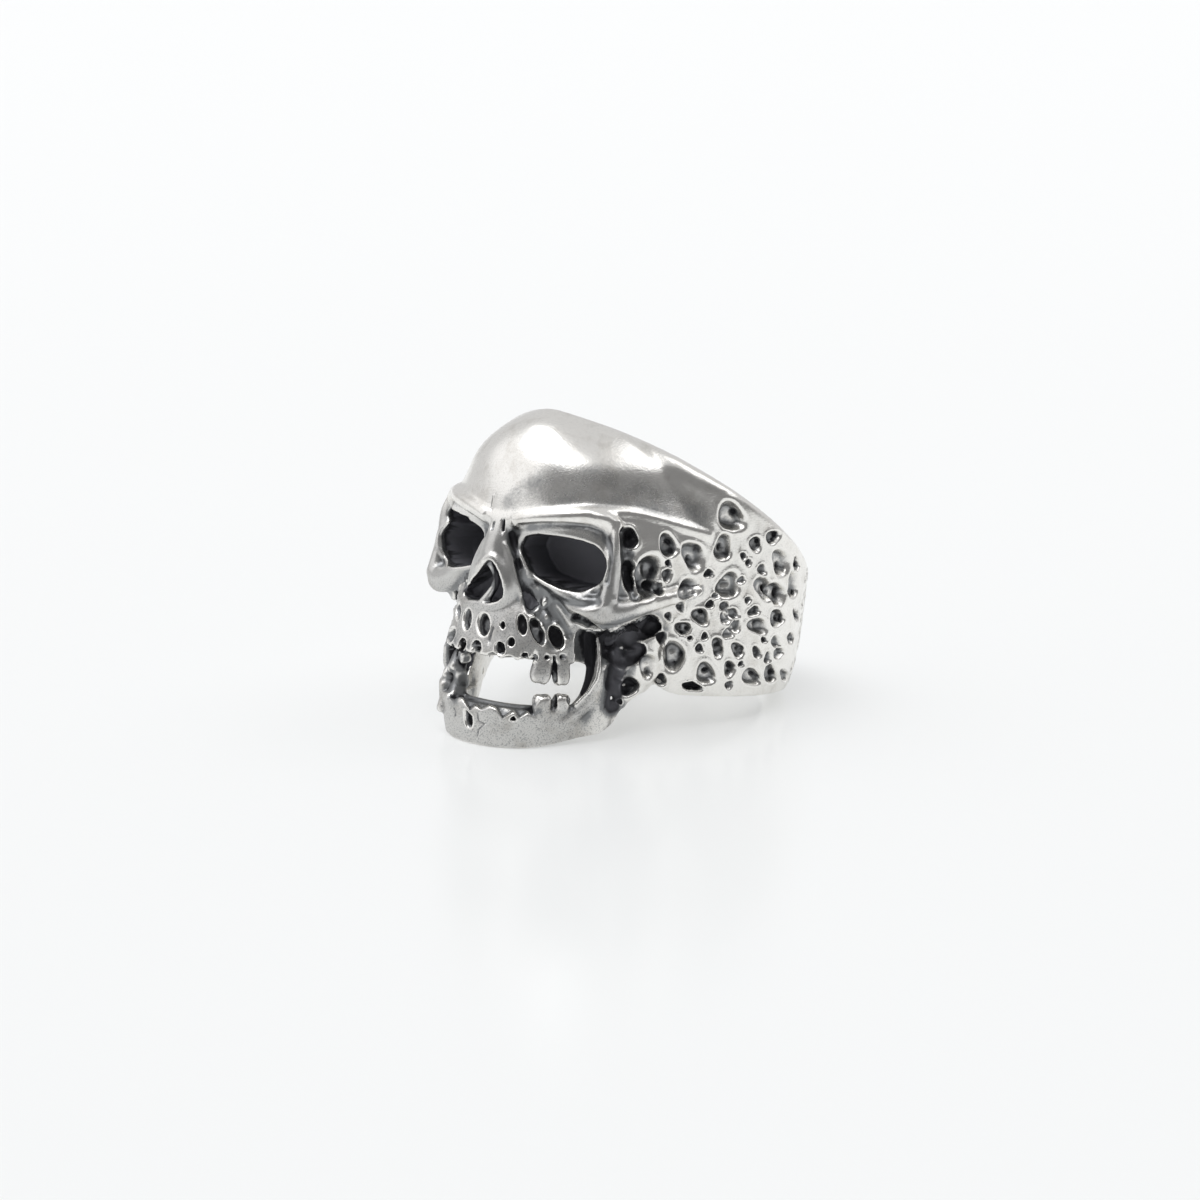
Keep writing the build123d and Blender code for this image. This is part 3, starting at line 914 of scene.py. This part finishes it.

# Craters
# The band's pits, pressed into the wax with round punches of many sizes. They are charted on the
# photograph, and each large one has three smaller dimples in its floor.
craters = [
    # across, down, half-width, half-height
    (630, 539, 10, 10), (648, 575, 15, 21), (629, 575, 8, 17), (667, 575, 6.5, 6.5),
    (656.5, 588, 8, 7), (668.5, 545.5, 10.5, 12), (694, 556, 13, 15), (690, 589.5, 12, 13),
    (708.7, 573.5, 5.2, 5.2), (723.4, 548, 10, 13), (731.5, 517, 15.5, 15), (755.6, 544, 7.5, 7.5),
    (773, 537, 8, 7), (781, 562, 10, 13), (796, 564, 3.4, 9), (728.8, 585.6, 13, 14),
    (762, 569.5, 5.5, 5.5), (743.5, 556, 4, 4), (748.5, 562.5, 4, 4), (763.6, 588, 9, 13),
    (777, 593.6, 9, 14), (793, 586, 6, 13), (680.6, 607, 5.2, 5.2), (668.5, 616.4, 4.5, 4.5),
    (700.6, 616.4, 9.5, 9), (710, 604.3, 4.8, 4.8), (724.8, 607, 6, 6), (732.8, 613.7, 6.5, 6.5),
    (725, 618, 6, 6), (735.5, 626, 6, 7), (728.8, 633, 6.5, 6), (754.2, 611, 7, 5),
    (758.2, 626, 10, 9.5), (777, 618, 7, 11), (796, 615, 2.9, 8), (683.2, 628.5, 8, 8),
    (661.8, 638, 6.7, 6.5), (704.7, 636.4, 4.2, 4.2), (699.3, 648.5, 5, 4.5), (718, 647, 6.7, 10),
    (738, 650, 7, 8), (757, 652.5, 5, 6.5), (767.6, 658, 4, 6), (775.6, 642, 5, 6.5),
    (778.3, 653, 5, 7), (790.4, 638, 3.4, 7.5), (674, 656, 13, 15), (648.4, 666, 11, 12.5),
    (661, 680, 7, 6), (706, 674, 11.5, 11), (730, 668.6, 7, 8), (751.6, 677, 9.5, 10),
    (770.3, 674, 6.5, 11), (784, 675, 4, 7.5), (729, 685, 4.8, 4.5), (692, 686.5, 13, 4.5),
    (630, 687, 12, 9), (619.6, 701.5, 3, 3), (657.9, 626, 3.5, 5), (668, 563, 4, 4),
    (742, 580, 4, 4), (748, 600, 4, 4), (715, 596, 4, 4), (741, 664, 3.5, 3.5), (690, 638, 3, 3),
    (764, 640, 3.5, 4),
]
crater_depth = 0.12
crater_deepening = 0.04  # for each pixel of half-width
crater_wall = 0.5  # share of the half-width
large_crater = 7  # pixels of half-width
dimples = 3
chance = np.random.default_rng(41)
for px, py, wide, high in craters:
    depth = crater_depth + crater_deepening * max(wide, high)
    turn = chance.uniform(-15, 15)
    skin.dab(px, py, wide, high, depth, crater_wall, turn, lip=0.06, wobble=0.12)
skin.survey()
for px, py, wide, high in craters:
    if max(wide, high) > large_crater:
        for _ in range(dimples):
            way = chance.uniform(0, 2 * pi)
            off = chance.uniform(0.25, 0.55)
            inner = chance.uniform(0.3, 0.45)
            across, down = px + off * wide * cos(way), py + off * high * sin(way)
            skin.dab(across, down, inner * wide, inner * high, 0.15, edge=1.0)
skin.survey()

# Pits at the back
# The photograph doesn't show the back of the band, so its pits are strewn there by chance, of the
# charted pits' sizes and none on another.
pit_sizes = [0.28, 0.34, 0.4, 0.5, 0.62, 0.78, 0.92]  # half-widths in millimetres
large_pit = 0.6
pit_wall = 0.5
pit_tries = 1600
back_turns = (117, 243)  # degrees from the front
pit_heights = (0.7, 13.0)
rim_margin = 0.5
foot_margin = 0.4
for _ in range(pit_tries):
    turn = radians(chance.uniform(*back_turns))
    height = chance.uniform(*pit_heights)
    size = pit_sizes[chance.integers(len(pit_sizes))]
    reach = np.interp(height, heights, reaches)
    place = np.array([reach * sin(turn), -reach * cos(turn), height])
    ceiling = back_height + slope_rise * (band_radius - place[1]) - size - rim_margin
    clear = all(
        np.linalg.norm(place - other) > 0.85 * (size + girth) + 0.15 for other, girth in skin.middles
    )
    if size + foot_margin < height < ceiling and clear:
        skin.middles.append((place, size))
        high = size * chance.uniform(0.85, 1.25)
        skin.pit(place, size, high, 0.12 + 0.45 * size, pit_wall, lip=0.05)
        if size > large_pit:
            for _ in range(dimples):
                way = chance.uniform(0, 2 * pi)
                off = chance.uniform(0.25, 0.5) * size
                inner = chance.uniform(0.3, 0.45) * size
                aside = np.array([cos(turn) * cos(way), sin(turn) * cos(way), sin(way)]) * off
                skin.pit(place * 0.97 + aside, inner, inner, 0.13, edge=1.0)
skin.survey()

# Polish and oxide
# The finished casting is blackened all over and polished again, so the oxide stays where a
# polishing wheel can't reach: each point keeps how hidden it is from near and from far around it.
most_faces = 190000
stain_and_reflection_paths = [
    # path across and down, half-width, amount: the vault above the brow, partly tarnish and
    # partly a painted dark reflection of the surroundings
    ([(538, 481), (556, 474), (580, 473), (604, 478), (630, 487), (655, 496), (680, 506),
      (702, 516)], 16, 0.24),
    ([(510, 500), (520, 490), (532, 482), (545, 478)], 11, 0.3),
    ([(524, 494), (545, 497), (570, 500)], 8, 0.2),
    ([(560, 499), (600, 499), (640, 505), (670, 514)], 9, 0.25),
    # round the orbit, beside the nose and on the upper jaw
    ([(545, 591), (560, 598), (580, 602), (600, 598)], 6, 0.26),
    ([(611, 540), (613, 565), (609, 586)], 5, 0.24),
    ([(530, 528), (560, 527), (590, 531), (606, 541)], 4, 0.22),
    ([(514, 538), (520, 566), (528, 592), (536, 606)], 8, 0.24),
    ([(536, 606), (546, 620), (558, 640)], 13, 0.22),
    # the lower jaw
    ([(453, 640), (455, 700)], 8, 0.28),
    ([(464, 650), (467, 690)], 9, 0.42),
    ([(466, 698), (500, 704), (538, 710)], 5, 0.32),
    # the hollow behind the jaw, the temple and the band beside it
    ([(610, 640), (628, 636), (650, 626)], 16, 0.9),
    ([(612, 650), (620, 665), (612, 704)], 14, 0.9),
    ([(628, 660), (638, 648)], 11, 0.9),
    ([(627, 535), (629, 590), (650, 577)], 9, 0.3),
    ([(587, 636), (590, 660), (583, 690)], 9, 0.7),
    ([(600, 700), (585, 715)], 10, 0.2),
    ([(640, 548), (680, 552), (690, 580), (660, 600)], 26, 0.1),
]
opening_oxide = (1.2, 1.2, 1.0)  # in the orbits, the far orbit and the nose
jaws_top = 7.8
jaws_back = 11.5
face_top = 13.6
face_back = 13.5
near_reach = 0.9
far_reach = 4.5
looks = 34
lift = 0.03  # how far off the skin a look starts
steepest = 0.05  # a look nearer to the skin than this, as a cosine, isn't counted


def thin(piece, faces):
    """Leaves a piece with about so many triangles, fewest where it is flat."""
    pick(piece)
    now = sum(len(face.vertices) - 2 for face in piece.data.polygons)
    if now > faces:
        press = piece.modifiers.new("press", "DECIMATE")
        press.ratio = faces / now
        bpy.ops.object.modifier_apply(modifier=press.name)


def keep(piece, name, values):
    """Stores a number for each point, for the material to read."""
    note = piece.data.attributes.new(name, "FLOAT", "POINT")
    note.data.foreach_set("value", values.astype(np.float32))


put(band, skin.points)
for name, rounds in (("ridge", 10), ("crest", 90)):
    bpy.ops.object.select_all(action="DESELECT")
    rubbed = bpy.data.objects.new("rubbed", band.data.copy())
    bpy.context.collection.objects.link(rubbed)
    smooth(rubbed, 1.0, rounds)
    keep(band, name, ((skin.points - places(rubbed)) * skin.facing).sum(axis=1))
    bpy.data.objects.remove(rubbed)
for path, wide, amount in stain_and_reflection_paths:
    skin.stain(path, wide, amount)
for (ring, turn, depth), amount in zip(rims, opening_oxide):
    skin.blacken(ring, turn, depth, amount)
keep(band, "stain", skin.stained)
reach, height = -skin.points[:, 1], skin.points[:, 2]
jaws = np.clip((jaws_top - height) / 2, 0, 1) * np.clip((reach - jaws_back) / 2, 0, 1)
face = np.clip((face_top - height) / 1.5, 0, 1) * np.clip((height + 0.5) / 1.5, 0.9, 1)
face *= np.clip((reach - face_back) / 2, 0, 1)
keep(band, "cast", jaws)
keep(band, "face", face)
thin(band, most_faces)

bark = shell(band)
looking = []
for step in range(looks):
    rise = 1 - (2 * step + 1) / looks
    turn = step * pi * (3 - 5**0.5)
    level = (1 - rise**2) ** 0.5
    looking.append(Vector((cos(turn) * level, sin(turn) * level, rise)))
near_hidden, far_hidden = [], []
for corner in band.data.vertices:
    start = corner.co + corner.normal * lift
    weight = near = far = 0.0
    for way in looking:
        lean_to = way.dot(corner.normal)
        if lean_to > steepest:
            weight += lean_to
            reach = bark.ray_cast(start, way, far_reach)[3]
            if reach is not None:
                far += lean_to * (1 - 0.5 * reach / far_reach)
                if reach < near_reach:
                    near += lean_to * (1 - reach / near_reach)
    near_hidden.append(near / max(weight, steepest))
    far_hidden.append(far / max(weight, steepest))
near_hidden, far_hidden = np.array(near_hidden), np.array(far_hidden)
for _ in range(2):
    near_hidden = neighbours_mean(band, near_hidden)
    far_hidden = neighbours_mean(band, far_hidden)
keep(band, "crease", near_hidden)
keep(band, "hollow", far_hidden)

# Silver
# Oxidised sterling: black in the hollows, grey where it is only tarnished, and polished bright on
# the high points, with fine casting pits, most of them on the jaws. The grey band across the vault
# is partly tarnish and partly a painted dark reflection of the surroundings.


class Value:
    """A socket of a shader that Python's operators add Math nodes to."""

    tree = None

    def __init__(self, socket):
        self.socket = socket

    @staticmethod
    def node(kind, settings=(), inputs=(), output=0):
        """Adds a node with its settings and then its inputs, by name or number."""
        node = Value.tree.nodes.new(kind)
        for name, value in dict(settings).items():
            setattr(node, name, value)
        for name, value in dict(inputs).items():
            if isinstance(value, Value):
                Value.tree.links.new(value.socket, node.inputs[name])
            else:
                node.inputs[name].default_value = value
        return Value(node.outputs[output])

    def maths(self, operation, *others):
        """A Math node on this value and others."""
        inputs = dict(enumerate((self, *others)))
        return Value.node("ShaderNodeMath", {"operation": operation}, inputs)

    def __add__(self, other):
        return self.maths("ADD", other)

    def __sub__(self, other):
        return self.maths("SUBTRACT", other)

    def __mul__(self, other):
        return self.maths("MULTIPLY", other)

    def __truediv__(self, other):
        return self.maths("DIVIDE", other)

    def __rsub__(self, other):
        return Value.node("ShaderNodeMath", {"operation": "SUBTRACT"}, {0: other, 1: self})

    __radd__ = __add__
    __rmul__ = __mul__

    def between(self, low, high):
        """0 at low and 1 at high, with a smooth step from one to the other."""
        settings = {"interpolation_type": "SMOOTHSTEP"}
        inputs = {"Value": self, "From Min": low, "From Max": high}
        return Value.node("ShaderNodeMapRange", settings, inputs)

    def mix(self, first, second):
        """A number between two, at this share of the way."""
        return first + self * (second - first)


def colour_mix(share, first, second):
    """A colour between two, at a share of the way."""
    inputs = {0: share, 6: first, 7: second}
    return Value.node("ShaderNodeMix", {"data_type": "RGBA"}, inputs, 2)


def noted(name):
    """A number that the mesh keeps for each point."""
    return Value.node("ShaderNodeAttribute", {"attribute_name": name}, output="Fac")


def speckle(size, detail, rough, stretch=(1, 1, 1), seed=0.0):
    """Noise with grains of a size in millimetres, stretched along the object's axes."""
    where = Value.node("ShaderNodeTexCoord", output="Object")
    scale = [1 / (size * millimetre * part) for part in stretch]
    inputs = {"Vector": where, "Scale": scale, "Location": (seed, seed, seed)}
    where = Value.node("ShaderNodeMapping", {}, inputs)
    inputs = {"Vector": where, "Scale": 1.0, "Detail": detail, "Roughness": rough}
    return Value.node("ShaderNodeTexNoise", {}, inputs)


bright_silver = (0.90, 0.885, 0.85, 1)
grey_tarnish_and_reflection = (0.27, 0.275, 0.28, 1)
black_oxide = (0.055, 0.055, 0.06, 1)
dull_oxide = (0.27, 0.27, 0.295, 1)
warm_grime = (0.48, 0.44, 0.38, 1)

silver = bpy.data.materials.new("oxidised_silver")
silver.use_nodes = True
Value.tree = silver.node_tree
cloud = speckle(1.6, 3.0, 0.6)
grit = speckle(0.2, 1.0, 0.5, seed=3.0)
crease, hollow, ridge, crest = noted("crease"), noted("hollow"), noted("ridge"), noted("crest")
stain, cast, face = noted("stain"), noted("cast"), noted("face")
wear = (ridge.between(0.012, 0.06) + crest.between(0.1, 0.32)).maths("MINIMUM", 1.0)
specks = speckle(0.12, 1.0, 0.7, seed=5.0).between(0.54, 0.64) * (0.25 + cast * 0.75) * (1 - wear)
# Besides tarnish and oxide, this carries the painted dark reflection across the vault, which turns
# grey.
depth = hollow * 0.62 + crease * 0.57 + stain + face * 0.06 - ridge * 2.0 - crest * 0.35
depth = depth + (cloud - 0.5) * (0.24 + stain * 0.6) + (grit - 0.5) * 0.16
tarnish_and_dark_reflection = (depth.between(0.08, 0.46) + specks * 0.4 + face * 0.48) * (1 - wear * 0.85)
tarnish_and_dark_reflection = tarnish_and_dark_reflection.maths("MINIMUM", 1.0)
oxide = depth.between(0.44, 0.72)
grime = speckle(2.4, 4.0, 0.68, seed=21.0).between(0.46, 0.7) * (1 - wear) * (0.3 + cast * 0.3)
scratch = speckle(0.08, 0.0, 0.5, stretch=(1, 16, 1), seed=31.0)
scratch = scratch + speckle(0.07, 0.0, 0.5, stretch=(18, 1, 3), seed=37.0)
tone = colour_mix(grime, bright_silver, warm_grime)
tone = colour_mix(tarnish_and_dark_reflection, tone, grey_tarnish_and_reflection)
tone = colour_mix(oxide, tone, colour_mix(stain.between(0.5, 1.3), black_oxide, dull_oxide))
gloss = tarnish_and_dark_reflection.mix(0.22, 0.36) + oxide * 0.34 + (cloud - 0.5) * 0.08 + cast * (1 - wear) * 0.14
relief = (grit - 0.5) * (0.2 + cast * 0.5) + (speckle(0.7, 1.0, 0.5, seed=9.0) - 0.5) * 0.4
relief = relief + (scratch - 1.0) * 0.24
grain_height = 0.05 * millimetre
inputs = {"Strength": 0.4, "Distance": grain_height, "Height": relief}
bump = Value.node("ShaderNodeBump", {}, inputs, "Normal")
shader = silver.node_tree.nodes["Principled BSDF"]
shader.inputs["Metallic"].default_value = 1.0
for name, value in (("Base Color", tone), ("Roughness", gloss), ("Normal", bump)):
    silver.node_tree.links.new(value.socket, shader.inputs[name])
band.data.materials.clear()
band.data.materials.append(silver)
pick(band)
bpy.ops.object.shade_smooth()
band.data.transform(to_table)
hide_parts("skull_ring")
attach(band, "root")

# Table and light
# A white glossy table, lit from below as well, under a light tent: soft lights overhead and in
# front on the left, a narrow one behind on the right, and the dark opening that the camera looks
# in by.
bpy.ops.object.select_all(action="DESELECT")
bpy.ops.mesh.primitive_plane_add(size=6)
table = bpy.context.object
table.name = "table"
white = bpy.data.materials.new("white_table")
white.use_nodes = True
top = white.node_tree.nodes["Principled BSDF"]
top.inputs["Base Color"].default_value = (0.5, 0.505, 0.505, 1)
top.inputs["Emission Color"].default_value = (0.985, 1, 0.995, 1)
top.inputs["Emission Strength"].default_value = 0.4
top.inputs["Roughness"].default_value = 0.2
top.inputs["Specular IOR Level"].default_value = 0.15
table.data.materials.append(white)

world = bpy.data.worlds.new("studio")
bpy.context.scene.world = world
world.use_nodes = True
Value.tree = world.node_tree
away = Value.node("ShaderNodeTexCoord", output="Generated")
parts = [Value.node("ShaderNodeSeparateXYZ", {}, {"Vector": away}, axis) for axis in range(3)]
turned = parts[0].maths("ARCTAN2", parts[1] * -1) * (180 / pi)
risen = parts[2].maths("ARCSINE") * (180 / pi)
lights = [
    # turn, rise, half-width and half-height in degrees, blur, brightness
    (60, 20, 82, 32, 0.35, 0.22), (-45, 34, 42, 26, 0.5, 1.05), (-15, 74, 95, 24, 0.6, 2.9),
    (142, 45, 21, 15, 0.4, 1.6),
]
tent_brightness = 0.66
level = tent_brightness
for turn, rise, wide, high, blur, brightness in lights:
    across, up = (turned - turn) / wide, (risen - rise) / high
    off = across.maths("POWER", 2.0) + up.maths("POWER", 2.0)
    share = off.maths("SQRT").between(1 + blur / 2, 1 - blur / 2)
    level = share.mix(level, brightness)
backdrop = world.node_tree.nodes["Background"]
inputs = {"Red": level, "Green": level, "Blue": level * 1.01}
sky = Value.node("ShaderNodeCombineColor", {}, inputs)
world.node_tree.links.new(sky.socket, backdrop.inputs["Color"])
bpy.context.scene.view_settings.view_transform = "Standard"
